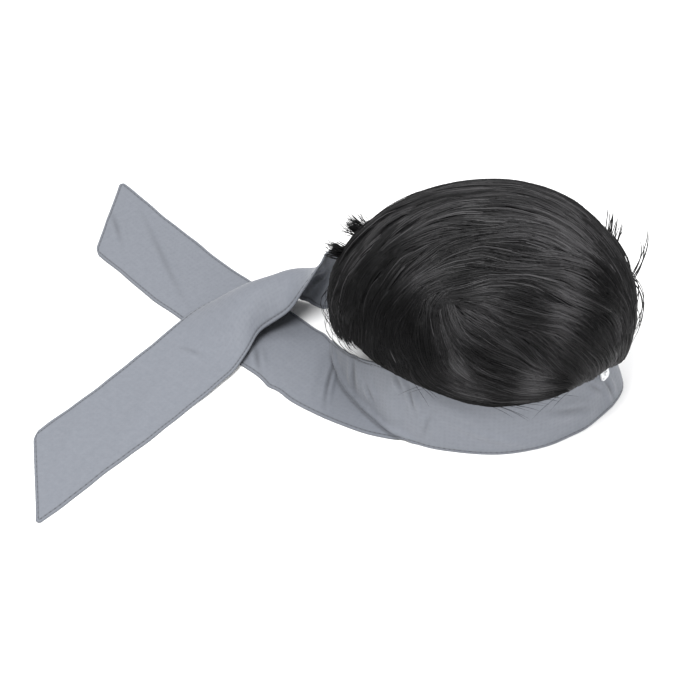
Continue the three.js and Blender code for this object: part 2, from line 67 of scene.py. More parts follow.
# Sections of the sash from the tip in front, round the far side, front and near side, to the other tip. x and
# y place the middle of the strip, lean turns it from standing (0) to flat (90) towards facing, bulge arches
# it outwards, and flat is the share of it, from its lower edge, that lies on the floor up to a crease.
SASH_COLUMNS = ("x", "y", "lift", "lean", "facing", "bulge", "flat")
SASH_SECTIONS = np.array([
    (-323, -98, 0, 90, -40, 0, 0),
    (-287, -56, 0, 90, -40, 0, 0),
    (-251, -14, 0, 90, -40, 0, 0),
    (-215, 30, 2.6, 90, -40, 0, 0),
    (-184, 68, 2.6, 83, -58, 18, 0),
    (-154, 76, 1.5, 68, -76, 24, 0),
    (-134, 74, 0, 35, -93, 20, 0),
    (-124, 74, 0, 18, -93, 11, 0),
    (-113, 79, 0, 9, -93, 3, 0),
    (-66, 70, 0, 0, -100, 0, 0),
    (-34, 65, 0, 0, -93, 0, 0),
    (0, 71, 0, 0, -90, 0, 0),
    (34, 62, 0, 4, -109, 0, 0),
    (58, 43, 0, 10, -131, 0, 0),
    (73, 25, 0, 14, -143, 0, 0),
    (82, 11, 0, 15, -158, 0, 0),
    (85, 0, 0, 15, -180, 0, 0),
    (82, -11, 0, 15, -202, 0, 0),
    (73, -25, 0, 14, -217, 0, 0),
    (58, -43, 0, 10, -229, 0, 0),
    (34, -62, 0, 4, -251, 0, 0),
    (0, -72, 0, 0, -270, 0, 0),
    (-40, -66, 0, 2, -282, 0, 0),
    (-64, -57, 0, 1, -287, 0, 0.18),
    (-76, -52, 0, 1, -290, 0, 0.27),
    (-96, -36, 0, 4, -296, 0, 0.48),
    (-110, -23, 0, 4, -303, 0, 0.62),
    (-121, -10, 0, 6, -310, 0, 0.75),
    (-129, 3, 0, 6, -312, 0, 0.9),
    (-137, 17, 0, 6, -313, 0, 1.05),
    (-145, 30, 0, 45, -315, 0, 1.3),
    (-157, 42, 0, 90, -318, 0, 1.3),
    (-198, 87, 0, 90, -318, 0, 1.3),
    (-226, 116, 0, 90, -318, 0, 1.3),
    (-252, 146, 0, 90, -318, 0, 1.3),
    (-291, 193, 0, 90, -318, 0, 1.3),
])

# Soft folds of the sash: place along it (share of its length) and across it (-1 lower, 1 upper edge), turn
# from crosswise in degrees, run, breadth and height in mm.
SASH_FOLDS = (
    (0.768, 0.0, -41, 26, 8, 2.2),
    (0.712, 0.4, -5, 20, 8, 2.4),
    (0.69, 0.0, -10, 22, 9, 2.0),
    (0.545, -0.7, 30, 14, 9, 1.4),
    (0.5, -0.7, -20, 14, 8, 1.2),
    (0.616, -0.5, -70, 30, 3.4, 1.6),
    (0.64, 0.1, -60, 26, 8.0, 1.4),
    (0.86, 0.3, -60, 26, 7.0, 1.2),
    (0.1, 0.2, 70, 40, 8.0, 1.4),
    (0.045, -0.3, 62, 30, 7.0, 1.2),
)

# Creases of the sash, in the same columns, each a line of painted shade between two raised lips.
SASH_CREASES = (
    (0.7535, 0.02, -33, 23, 1.4, 2.4),
    (0.7262, 0.5, -10, 14, 3.0, 2.4),
    (0.7067, 0.2, -27, 9, 1.6, 1.6),
    (0.6707, 0.22, -13, 9, 1.5, 1.8),
    (0.6808, 0.62, -20, 7, 1.5, 1.5),
    (0.66, -0.4, 14, 9, 1.8, 1.2),
    (0.559, -0.3, -66, 16, 2.4, 1.4),
    (0.5195, -0.5, -17, 10, 1.8, 2.2),
    (0.533, -0.2, -40, 8, 1.6, 1.4),
    (0.806, -0.6, -53, 11, 1.8, 2.0),
    (0.9845, -0.11, -65, 16, 2.0, 1.3),
    (0.934, 0.05, -69, 45, 2.4, 1.0),
    (0.159, -0.12, -11, 9, 1.8, 0.9),
    (0.2628, -0.37, -29, 26, 1.2, 3.0),
)

# Round the head: azimuth from the front to either side, height of the hair's lower edge, its reach there, and
# height of the cap's edge.
EDGE_AZIMUTH = (0, 16, 30, 47, 65, 88, 104, 116, 128, 140, 152, 166, 180)
EDGE = {
    "hair_z": (39, 46.5, 56.5, 56.5, 54.5, 53, 55, 61, 69, 77, 84, 91, 89),
    "reach": (95, 94, 87, 81, 78, 77.5, 78, 80, 88, 98, 106, 112, 114),
    "cap_z": (68.4, 68.4, 68.4, 68.4, 68.4, 68.4, 69, 76, 84, 88, 86, 70, 68.4),
}

# Hanging nape locks: azimuth, height of the tip and how far it flicks out.
NAPE_AZIMUTH = (150, 159, 168, 177, 186, 194, 202)
NAPE_TIP = (64, 57, 50, 55, 65, 70, 80)
NAPE_FLICK = (14, 9, 0, -1, 1, 1, 0)

# The way the hair lies, as strokes on the head from azimuth and elevation to azimuth and elevation.
STROKES = np.array([
    # front hairline
    (-12, -45, -14, -8), (-14, 0, -10, 25), (4, -30, 4, 10), (24, -30, 34, 5), (50, -45, 62, -15),
    # along the top, from the front to the back
    (-12, 25, 0, 45), (5, 49, 22, 63), (28, 66, 80, 74), (98, 73, 145, 66), (153, 65, 169, 54),
    (172, 51, -178, 38), (-176, 35, -171, 22), (-11, 37, -6, 55), (-5, 60, 1, 79), (7, 83, 175, 79),
    (179, 76, -176, 60), (-173, 57, -165, 41), (-164, 37, -160, 20),
    # near side, down behind the swirl
    (-20, 27, -24, 46), (-26, 51, -45, 68), (-53, 70, -120, 72), (-129, 69, -149, 55), (-149, 51, -150, 36),
    (-149, 32, -147, 17), (-29, 35, -45, 51), (-50, 55, -84, 63), (-90, 63, -120, 57), (-122, 55, -132, 44),
    (-133, 39, -136, 22), (-137, 18, -134, 6), (-141, 9, -133, 1),
    # near side, into the eye of the swirl
    (-30, 22, -45, 39), (-49, 43, -75, 50), (-82, 51, -112, 49), (-116, 47, -125, 42), (-124, 38, -123, 24),
    (-122, 21, -117, 9), (-56, 36, -86, 45), (-90, 45, -108, 45),
    # near side, down from the eye
    (-121, 34, -116, 24), (-116, 22, -111, 10), (-110, 8, -99, 0), (-118, 33, -107, 24), (-106, 24, -94, 20),
    # near side, forward and down to the temple
    (-111, 42, -89, 32), (-87, 30, -68, 17), (-66, 13, -55, -28), (-92, 40, -66, 30), (-64, 28, -47, 10),
    (-43, 7, -37, -30), (-43, 26, -32, 4), (-28, 3, -26, -32), (-80, 23, -69, 7), (-104, 29, -85, 20),
    (-20, 0, -19, -45), (-35, -25, -34, -56), (-48, -22, -46, -54),
    # along the near lower edge
    (-127, 7, -116, -7), (-115, -16, -97, -24), (-95, -23, -74, -35), (-72, -26, -58, -25), (-89, 3, -71, -4),
    (-110, -40, -90, -45), (-85, -50, -60, -52),
    # far side
    (20, 20, 40, 40), (45, 42, 85, 52), (95, 52, 135, 42), (142, 38, 160, 20), (35, -10, 60, 15),
    (65, 18, 100, 26), (105, 25, 140, 15), (60, -40, 85, -10), (90, -8, 125, 0), (165, 30, 172, 10),
    (95, -45, 120, -25), (-170, 30, -165, 8), (-158, 27, -151, 13),
], dtype=float)
STROKE_SAMPLES = (0.15, 0.5, 0.85)
STROKE_SPREAD = 13.0

# Waves that make the hair wander from the strokes: radians per mm in x, y and z, start, and turn in degrees.
WANDER = np.array([
    (0.10, 0.02, 0.16, 0.0, 6), (-0.07, 0.13, 0.09, 2.1, 5),
    (0.05, -0.17, -0.12, 4.0, 5), (0.22, 0.11, -0.15, 1.0, 4),
])

# Patches of painted highlight and painted shade on the hair: azimuth, elevation, spread in mm and amount,
# lighter above 0 and darker below.
SHEEN_AND_SHADE_PATCHES = np.array([
    (-96, 46, 9, 0.2), (-50, 42, 10, 0.32), (-56, 28, 10, 0.32), (-70, 40, 9, -0.16),
    (-165, 48, 12, -0.3), (-160, 33, 14, -0.34), (-135, 24, 18, -0.4), (-125, 16, 14, -0.3),
    (-148, 18, 16, -0.36), (-117, 24, 7, 0.4), (-108, 10, 9, 0.42), (-102, 0, 10, 0.2), (-90, 8, 9, -0.3),
    (-98, 20, 8, -0.2), (-71, 3, 9, 0.3), (-57, 0, 10, -0.34), (-45, 20, 10, -0.3), (-28, 33, 12, -0.34),
    (-42, -22, 11, 0.3), (-30, 13, 9, 0.25), (-150, 66, 30, 0.16), (0, 60, 40, 0.16), (100, 60, 40, 0.12),
    (-175, 34, 14, 0.1), (-112, 46, 9, -0.1), (-32, 50, 10, 0.3), (-22, 57, 12, 0.25), (-44, 35, 9, 0.22),
    (-50, 60, 14, 0.16), (-60, 20, 10, 0.2), (-112, 34, 8, 0.25), (-102, 36, 10, 0.2),
    (-92, 32, 10, 0.16), (-135, 48, 9, 0.12), (-75, 6, 8, 0.2), (-98, -14, 10, 0.22), (-79, -15, 10, 0.2),
    (-69, -24, 10, 0.3), (-76, 50, 10, 0.14), (-53, 36, 8, 0.14), (-110, 19, 8, 0.14),
    (-172, 10, 16, -0.2), (171, 51, 13, 0.16), (180, 42, 10, 0.14), (-149, 51, 10, 0.14),
    (-140, 43, 9, 0.2), (-130, 46, 8, 0.1), (-124, 37, 8, 0.18), (-124, 58, 12, -0.12),
    (-139, 81, 12, -0.08), (-30, 78, 12, 0.14), (-11, 71, 12, 0.12), (0, 62, 12, 0.1), (-70, 59, 9, 0.1),
    (-35, 39, 8, 0.14), (-53, 35, 8, 0.1), (-56, 26, 8, 0.12), (-89, 10, 8, 0.16), (-34, 16, 10, -0.16),
    (-35, 4, 10, -0.16),
])


def radians(values):
    return np.radians(np.asarray(values, float))


def smooth(x, start, end):
    share = np.clip((x - start) / (end - start), 0, 1)
    return share * share * (3 - 2 * share)


def bell(x):
    return np.exp(-(x**2))


def unit(vectors):
    return vectors / np.maximum(np.linalg.norm(vectors, axis=-1, keepdims=True), 1e-12)


def stack(x, y, z):
    return np.stack(np.broadcast_arrays(x, y, z), axis=-1)


def curve_weights(t, count):
    """Catmull-Rom weights of count evenly spaced knots at positions t."""
    t = np.asarray(t, float)
    i = np.clip(np.floor(t).astype(int), 0, count - 2)
    f = t - i
    parts = (-f + 2 * f**2 - f**3, 2 - 5 * f**2 + 3 * f**3, f + 4 * f**2 - 3 * f**3, -(f**2) + f**3)
    weights = np.zeros(t.shape + (count,))
    for offset, part in zip((-1, 0, 1, 2), parts):
        knot = np.clip(i + offset, 0, count - 1)[..., None]
        summed = np.take_along_axis(weights, knot, -1) + part[..., None] / 2
        np.put_along_axis(weights, knot, summed, -1)
    return weights


# The wig's frame in the scene: the cap's box gives its middle.
cap_low, cap_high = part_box("wig_cap")
CAP_MIDDLE_X = HEAD_X + (CAP.front - CAP.back) / 2
ORIGIN = np.array([(cap_low[0] + cap_high[0]) / 2 - CAP_MIDDLE_X * MM, (cap_low[1] + cap_high[1]) / 2, 0.0])


def scene_points(points):
    return ORIGIN + np.asarray(points) * MM


# Meshes


def new_object(name, data):
    obj = bpy.data.objects.new(name, data)
    bpy.context.scene.collection.objects.link(obj)
    return obj


def make_object(name, points, triangles, material, uv=None, tones=None, weld=False):
    """A shaded mesh of the part that rides with it. uv and tones hold a value for each point."""
    mesh = bpy.data.meshes.new(name)
    mesh.vertices.add(len(points))
    mesh.vertices.foreach_set("co", scene_points(points).ravel())
    mesh.loops.add(triangles.size)
    mesh.loops.foreach_set("vertex_index", triangles.ravel())
    mesh.polygons.add(len(triangles))
    mesh.polygons.foreach_set("loop_start", np.arange(len(triangles)) * 3)
    mesh.update(calc_edges=True)
    mesh.shade_smooth()
    if uv is not None:
        layer = mesh.uv_layers.new(name="strip")
        layer.data.foreach_set("uv", uv.reshape(-1, 2)[triangles.ravel()].ravel())
    if tones is not None:
        mesh.attributes.new("tone", "FLOAT", "POINT").data.foreach_set("value", tones.ravel())
    if weld:
        made = bmesh.new()
        made.from_mesh(mesh)
        bmesh.ops.remove_doubles(made, verts=made.verts, dist=1e-6)
        bmesh.ops.dissolve_degenerate(made, edges=made.edges, dist=1e-7)
        made.to_mesh(mesh)
        made.free()
    mesh.materials.append(material)
    obj = new_object(name, mesh)
    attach(obj, "root")
    return obj


def grid_triangles(index):
    """Triangles of a grid of point numbers, facing out when its first axis runs right and its second up."""
    a, b, c, d = index[:-1, :-1], index[1:, :-1], index[1:, 1:], index[:-1, 1:]
    return np.concatenate([np.stack([a, b, c], -1).reshape(-1, 3), np.stack([a, c, d], -1).reshape(-1, 3)])


def wall(outer, inner, wraps):
    """Points and triangles of a closed wall between two grids of points of one shape."""
    rows, columns = outer.shape[:2]
    out = np.arange(rows * columns).reshape(rows, columns)
    if wraps:
        out = np.concatenate([out, out[:1]])
    into = out + rows * columns
    faces = [
        grid_triangles(out), grid_triangles(into)[:, ::-1],
        grid_triangles(np.stack([into[:, 0], out[:, 0]], -1)),
        grid_triangles(np.stack([out[:, -1], into[:, -1]], -1)),
    ]
    if not wraps:
        faces.append(grid_triangles(np.stack([into[0], out[0]])))
        faces.append(grid_triangles(np.stack([out[-1], into[-1]])))
    points = np.concatenate([outer.reshape(-1, 3), inner.reshape(-1, 3)])
    return points, np.concatenate(faces)


# The head's forms


def plan_radius(form, azimuth, grow=0.0):
    along = np.where(np.cos(azimuth) > 0, form.front, form.back)
    return 1 / np.hypot(np.cos(azimuth) / along, np.sin(azimuth) / form.side) + grow


def on_head(azimuth, radius, z):
    return stack(HEAD_X + radius * np.cos(azimuth), radius * np.sin(azimuth), z)


def all_round(count):
    return np.linspace(0, 2 * np.pi, count, endpoint=False)[:, None]


def up_to_top(start, count):
    return start + (np.pi / 2 - start) * np.linspace(0, 1, count)


def edge_at(azimuth, column):
    from_front = np.abs((azimuth + np.pi) % (2 * np.pi) - np.pi)
    return np.interp(np.degrees(from_front), EDGE_AZIMUTH, EDGE[column])


def cap_elevation(z):
    height = np.where(z > CAP.mid_z, CAP.above, CAP.below)
    return np.arcsin(np.clip((z - CAP.mid_z) / height, -1, 1))


def cap_point(azimuth, elevation, grow=0.0):
    radius = plan_radius(CAP, azimuth, grow) * np.cos(elevation)
    height = np.where(elevation > 0, CAP.above + grow, CAP.below)
    return on_head(azimuth, radius, CAP.mid_z + height * np.sin(elevation))


# Elevations of the hair's lower edge, where it hangs, and just under its top, and the edge's least drop.
LOWEST = math.pi / 3
NEAR_TOP = 1.56
LEAST_DROP = 1.0


def hair_elevation(z):
    return np.arcsin(np.clip((z - HAIR.mid_z) / HAIR.above, -1, 1))


def hair_edge_elevation(azimuth):
    z = edge_at(azimuth, "hair_z")
    return np.where(z < HAIR.mid_z, -LOWEST, hair_elevation(z))


def hair_point(azimuth, elevation, grow=0.0):
    """The hair's outer face, which rounds under to its lower edge below the widest line."""
    wide = plan_radius(HAIR, azimuth, grow)
    reach = np.minimum(edge_at(azimuth, "reach"), wide - grow) + grow
    down = np.clip(-elevation / LOWEST, 0, 1)
    edge_z = np.minimum(edge_at(azimuth, "hair_z"), HAIR.mid_z)
    upper = elevation > 0
    under_radius = reach + (wide - reach) * np.sqrt(np.clip(1 - down**2, 0, 1))
    radius = np.where(upper, wide * np.cos(elevation), under_radius)
    over = HAIR.mid_z + (HAIR.above + grow) * np.sin(elevation)
    under = HAIR.mid_z + (edge_z - HAIR.mid_z) * down
    return on_head(azimuth, radius, np.where(upper, over, under))


def hair_angles(points):
    """Azimuth and elevation of places near the hair's outer face."""
    x, y, z = np.moveaxis(points, -1, 0)
    azimuth = np.arctan2(y, x - HEAD_X)
    out = np.hypot(x - HEAD_X, y) / plan_radius(HAIR, azimuth)
    edge_z = np.minimum(edge_at(azimuth, "hair_z"), HAIR.mid_z - LEAST_DROP)
    over = np.arctan2(np.maximum(z - HAIR.mid_z, 0) / HAIR.above, out)
    under = -LOWEST * np.clip((HAIR.mid_z - z) / (HAIR.mid_z - edge_z), 0, 1)
    elevation = np.where(z > HAIR.mid_z, over, under)
    hangs = edge_at(azimuth, "hair_z") < HAIR.mid_z
    return azimuth, np.where(hangs, elevation, np.maximum(elevation, hair_edge_elevation(azimuth)))


def hair_axes(azimuth, elevation):
    """Directions round, up and out from the hair's outer face."""
    step = 0.01
    east = unit(hair_point(azimuth + step, elevation) - hair_point(azimuth - step, elevation))
    above = hair_point(azimuth, np.minimum(elevation + step, NEAR_TOP))
    out = unit(np.cross(east, above - hair_point(azimuth, elevation - step)))
    return east, np.cross(out, east), out


def nape_radius(azimuth, z):
    form = Values(front=NAPE.out, back=NAPE.out, side=NAPE.side)
    tucked = NAPE.tuck * (1 - smooth(z, *NAPE.tuck_z))
    return plan_radius(form, azimuth) - tucked - NAPE.top_in * smooth(z, *NAPE.top_z)


# Materials

# Scales of the cloth's weave and mottling, and the share of its dark colour left where the painted shade in
# creases and hems is full.
CLOTH = Values(weave=100 / 11, mottle=22.0, deep=0.45)


def new_material(name, **sockets):
    """A node material and its shader, with values for the shader's sockets."""
    material = bpy.data.materials.new(name)
    material.use_nodes = True
    shader = material.node_tree.nodes["Principled BSDF"]
    for socket, value in sockets.items():
        shader.inputs[socket.replace("_", " ").title().replace("Ior", "IOR")].default_value = value
    return material, shader


def add(shader, kind, values=None, **settings):
    node = shader.id_data.nodes.new("ShaderNode" + kind)
    for key, value in settings.items():
        setattr(node, key, value)
    for socket, value in (values or {}).items():
        node.inputs[socket].default_value = value
    return node


def join(source, output, target, socket):
    target.id_data.links.new(source.outputs[output], target.inputs[socket])


def colour_ramp(shader, stops):
    ramp = add(shader, "ValToRGB")
    elements = ramp.color_ramp.elements
    while len(elements) < len(stops):
        elements.new(0.5)
    for element, (place, colour) in zip(elements, stops):
        element.position = place
        element.color = (*colour, 1)
    return ramp


def drive(shader, node, output, stops=(), rough=(), bump=(), **settings):
    """Let a node set the shader's colour through stops, its roughness and its bumps."""
    if stops:
        ramp = colour_ramp(shader, stops)
        join(node, output, ramp, "Fac")
        join(ramp, "Color", shader, "Base Color")
    if rough:
        spread = add(shader, "MapRange", {"To Min": rough[0], "To Max": rough[1]})
        join(node, output, spread, "Value")
        join(spread, "Result", shader, "Roughness")
    if bump:
        relief = add(shader, "Bump", {"Strength": bump[0], "Distance": bump[1]}, **settings)
        join(node, output, relief, "Height")
        join(relief, "Normal", shader, "Normal")


def cloth_material(name, dark, light):
    """Woven cloth: crossed ribs from the strip's own coordinates, with soft mottling, and painted shade from
    the tone attribute in creases and along hems.
    """
    material, shader = new_material(name, sheen_weight=0.15, sheen_roughness=0.5, specular_ior_level=0.35)
    strip = add(shader, "UVMap", uv_map="strip")
    weave = add(shader, "Math", operation="MULTIPLY")
    for place, axis in enumerate("XY"):
        rib = add(shader, "TexWave", {"Scale": CLOTH.weave, "Distortion": 0.6, "Detail": 1.0},
                  wave_type="BANDS", bands_direction=axis)
        join(strip, "UV", rib, "Vector")
        join(rib, "Fac", weave, place)
    mottle = add(shader, "TexNoise", {"Scale": CLOTH.mottle, "Detail": 6.0, "Roughness": 0.65})
    join(strip, "UV", mottle, "Vector")
    ramp = colour_ramp(shader, ((0.3, dark), (0.7, light)))
    join(mottle, "Fac", ramp, "Fac")
    # The tone attribute is painted shade; it mixes the colour towards the painted shade's darker share.
    tone = add(shader, "Attribute", attribute_name="tone")
    deep = add(shader, "MixRGB", {"Color2": (*(CLOTH.deep * np.array(dark)), 1)})
    join(tone, "Fac", deep, "Fac")
    join(ramp, "Color", deep, "Color1")
    join(deep, "Color", shader, "Base Color")
    drive(shader, weave, "Value", rough=(0.6, 0.8), bump=(0.25, 0.0002))
    return material


def hair_material(name, stops):
    """Fibres: each strand's tone, which holds random variation and painted highlight and shade, sets its
    colour, and the lighter ones are smoother.
    """
    material, shader = new_material(name, specular_ior_level=0.21)
    tone = add(shader, "Attribute", attribute_name="tone")
    drive(shader, tone, "Fac", stops, rough=(0.5, 0.32))
    return material


def knit_material(name, dark, light, loop_mm):
    """Dark fabric with fine loops, for the cap and the hair's backing."""
    material, shader = new_material(name, specular_ior_level=0.1)
    loops = add(shader, "TexVoronoi", {"Scale": 1 / (loop_mm * MM)})
    join(add(shader, "TexCoord"), "Object", loops, "Vector")
    stops = ((0.0, light), (0.7, dark))
    drive(shader, loops, "Distance", stops, rough=(0.75, 0.95), bump=(0.5, 0.0004), invert=True)
    return material


def plastic_material(name):
    """Milky moulded plastic with faint cloudy patches."""
    material, shader = new_material(name, transmission_weight=0.25, ior=1.47)
    cloud = add(shader, "TexNoise", {"Scale": 900.0, "Detail": 2.0})
    join(add(shader, "TexCoord"), "Object", cloud, "Vector")
    stops = ((0.3, (0.82, 0.84, 0.85)), (0.7, (0.95, 0.96, 0.97)))
    drive(shader, cloud, "Fac", stops, rough=(0.08, 0.3))
    return material


# Sash

# Points along and across the sash, closer at its edges and folds, and steps of the sums over it.
SASH_GRID = Values(
    along=700, across=46, edge=8, folded=(0.48, 0.78), finer=2.0, knots=400,
    middle_steps=1200, run_steps=40,
)
# The long crease, in shares of the width under the flat share: turn, roll, and where it starts and ends.
CREASE = Values(
    below=0.21, above=0.1, high=3.0, place=0.12, broad=0.05,
    starts=(0.05, 0.25), ends=(0.9, 1.1),
)
# Painted shade in a line under the long crease's roll: its place under the flat share, breadth and darkness,
# and the crease height that gives full painted shade.
CREASE_PAINTED_SHADE = Values(place=0.2, broad=0.025, dark=0.8, full_high=3.0)
# Lips of a crease, in breadths of it.
LIP = Values(apart=2.0, broad=1.5)
HEM = Values(
    inset=2.4, groove=0.7, edge=0.2, thick=0.8, dip=0.25, body=0.68,
    corner=5.0, corner_from=0.85, corner_over=0.15,
)
# Painted shade on the hem's rounded edge and in its stitched groove: darkness and breadth of each.
HEM_PAINTED_SHADE = Values(edge=0.45, edge_broad=0.7, line=0.75, line_broad=0.6)
# Waves of the hems: shares of the half width, mm for a radian, starts, and where the sash lies off its hem.
WAVE = Values(
    first=0.022, first_mm=24.0, first_start=1.3, second=0.009, second_mm=9.5,
    second_start=1.0, lean=(20.0, 60.0), flat=(0.05, 0.2),
)
# Stitches in mm, steps that find their face, and the least upward part of a face that has them.
STITCH = Values(
    long=2.7, pitch=3.7, wide=0.55, high=0.28, sides=5,
    side_step=0.02, share_step=0.001, shown=-0.5,
)
# Texture coordinates for a mm of cloth and for a stitch.
STRIP_SCALE = 0.01
STITCH_SCALE = 0.03

fine_t = np.linspace(0, len(SASH_SECTIONS) - 1, SASH_GRID.middle_steps)
fine_middle = (curve_weights(fine_t, len(SASH_SECTIONS)) @ SASH_SECTIONS)[:, :2]
fine_length = np.concatenate([[0], np.cumsum(np.linalg.norm(np.diff(fine_middle, axis=0), axis=1))])
SASH_LENGTH = fine_length[-1]


def fold_height(along, across):
    height = np.zeros(np.broadcast(along, across).shape)
    for place, side, turn, run, broad, high in SASH_FOLDS:
        off, envelope = crease_offset(along, across, place, side, turn, run)
        height += high * bell(off / broad) * envelope
    for place, side, turn, run, broad, high in SASH_CREASES:
        off, envelope = crease_offset(along, across, place, side, turn, run)
        lips = sum(bell((off / broad - lip) / LIP.broad) for lip in (LIP.apart, -LIP.apart))
        height += high * lips * envelope
    return height


def crease_offset(along, across, place, side, turn, run):
    """Distance from a line on the sash in mm, and the share of the line's strength left at that place."""
    dx = along - place * SASH_LENGTH
    dy = (across - side) * SASH.width / 2
    c, s = math.cos(math.radians(turn)), math.sin(math.radians(turn))
    return dx * c + dy * s, bell((dy * c - dx * s) / run)


def crease_painted_shade(along, across):
    """Painted shade from 0 to 1 in the creases and in a line under the long crease's roll."""
    shade = np.zeros(np.broadcast(along, across).shape)
    for place, side, turn, run, broad, high in SASH_CREASES:
        off, envelope = crease_offset(along, across, place, side, turn, run)
        shade += bell(off / broad) * envelope * min(high / CREASE_PAINTED_SHADE.full_high, 1)
    flat = sash_columns(along)["flat"]
    under = bell(((across + 1) / 2 - flat + CREASE_PAINTED_SHADE.place) / CREASE_PAINTED_SHADE.broad)
    return np.clip(shade + CREASE_PAINTED_SHADE.dark * under * creased(flat), 0, 1)


def sash_columns(along):
    """The section's columns, by name, at a place along the sash."""
    t = np.interp(np.clip(along, 0, SASH_LENGTH), fine_length, fine_t)
    columns = np.moveaxis(curve_weights(t, len(SASH_SECTIONS)) @ SASH_SECTIONS, -1, 0)
    return dict(zip(SASH_COLUMNS, columns))


def sash_middle(along):
    columns = sash_columns(along)
    return np.stack([columns["x"], columns["y"]], -1)


def creased(flat):
    """How far the crease has set in, for a section that lies flat up to a share of its width."""
    return smooth(flat, *CREASE.starts) * (1 - smooth(flat, *CREASE.ends))


def lean_at(lean, flat, across):
    """Lean of the sash at a place across it: flat below the crease, the section's own above it."""
    lying = 1 - smooth((across + 1) / 2, flat - CREASE.below, flat - CREASE.above)
    return np.radians(lean + (90 - lean) * lying)


def sash_run(lean, flat, across, chord):
    """How far the sash runs inwards and up from its lower edge to a place across it."""
    step = (across + 1) / SASH_GRID.run_steps
    inwards, up = 0, 0
    for i in range(SASH_GRID.run_steps):
        angle = lean_at(lean, flat, -1 + (i + 0.5) * step)
        inwards = inwards + np.sin(angle) * step * chord / 2
        up = up + np.cos(angle) * step * chord / 2
    return inwards, up


def sash_surface(along, across):
    """The sash's middle face at a place along it in mm and across it from -1, lower, to 1, upper edge."""
    x, y, lift, lean, facing, bulge, flat = sash_columns(along).values()
    lean, facing, bulge = np.clip(lean, 0, 90), np.radians(facing), np.maximum(bulge, 0)
    inward = stack(np.cos(facing), np.sin(facing), 0)
    here = lean_at(lean, flat, across)
    outward = UP * np.sin(here)[..., None] - inward * np.cos(here)[..., None]
    chord = SASH.width * (1 - (8 / 3) * (bulge / SASH.width) ** 2)
    low = np.maximum(lift, 0) + SASH.thick / 2 * np.sin(lean_at(lean, flat, -1))
    inwards, up = sash_run(lean, flat, across, chord)
    whole = sash_run(lean, flat, np.ones_like(across), chord)[0]
    roll = bell(((across + 1) / 2 - flat + CREASE.place) / CREASE.broad)
    arch = bulge * (1 - across**2) + fold_height(along, across) + CREASE.high * roll * creased(flat)
    point = stack(x, y, low + up) + inward * (inwards - whole / 2)[..., None] + outward * arch[..., None]
    inside = np.clip(along, 1, SASH_LENGTH - 1)
    way = unit(sash_middle(inside + 1) - sash_middle(inside - 1))
    past = along - np.clip(along, 0, SASH_LENGTH)
    point[..., :2] += way * past[..., None]
    return point


def sash_along(share, across):
    """Place along the sash in mm for a share of its length, with its slanted, rounded ends."""
    start = share * SASH_LENGTH
    end = SASH_LENGTH - start
    corner = HEM.corner * np.clip((np.abs(across) - HEM.corner_from) / HEM.corner_over, 0, 1) ** 2
    near_start = 1 - smooth(start, 0, SASH.skew_reach)
    near_end = 1 - smooth(end, 0, SASH.skew_reach)
    at_start = near_start * (SASH.start_skew * across - corner)
    at_end = near_end * (SASH.end_skew * across - corner)
    return start - at_start + at_end


def wavy(along, across):
    """The place across a hem that isn't quite straight, unless the sash stands on it."""
    first = np.sin(along / WAVE.first_mm + np.where(across > 0, 0.0, WAVE.first_start)) ** 2
    second = np.sin(along / WAVE.second_mm + WAVE.second_start) ** 2
    columns = sash_columns(along)
    lies = np.maximum(smooth(columns["lean"], *WAVE.lean), smooth(columns["flat"], *WAVE.flat))
    wave = (WAVE.first * first + WAVE.second * second) * np.where(across > 0, 1, lies)
    return across * (1 - wave * across**2)


def spaced_edges(count, near):
    """Shares from 0 to 1, closer together near both ends."""
    ends = np.linspace(0, near, SASH_GRID.edge, endpoint=False)
    return np.concatenate([ends, np.linspace(near, 1 - near, count - 2 * SASH_GRID.edge), 1 - ends[::-1]])


def finer_shares(shares):
    """Shares from 0 to 1 moved closer together in the folded stretch of the sash."""
    knots = np.linspace(0, 1, SASH_GRID.knots)
    start, end = SASH_GRID.folded
    density = 1 + (SASH_GRID.finer - 1) * ((knots > start) & (knots < end))
    reached = np.concatenate([[0], np.cumsum((density[1:] + density[:-1]) / 2)])
    return np.interp(shares, reached / reached[-1], knots)


def hem_half_thickness(inset):
    """Half the cloth's thickness at a distance from its edge: rounded edge, full hem, groove and body."""
    rounded = np.sqrt(np.clip(1 - (1 - inset / HEM.thick) ** 2, 0, 1))
    edge = HEM.edge + (HEM.thick - HEM.edge) * rounded
    edge = np.where(inset > HEM.thick, HEM.thick, edge)
    body = smooth(inset, HEM.inset + HEM.groove, HEM.inset + 3 * HEM.groove)
    groove = HEM.dip * bell((inset - HEM.inset) / HEM.groove)
    return edge + (HEM.body - HEM.thick) * body - groove


def hem_painted_shade(inset):
    """Painted shade from 0 to 1 on the hem's rounded edge and in the groove of its stitched line."""
    edge = HEM_PAINTED_SHADE.edge * bell(inset / HEM_PAINTED_SHADE.edge_broad)
    return edge + HEM_PAINTED_SHADE.line * bell((inset - HEM.inset) / HEM_PAINTED_SHADE.line_broad)


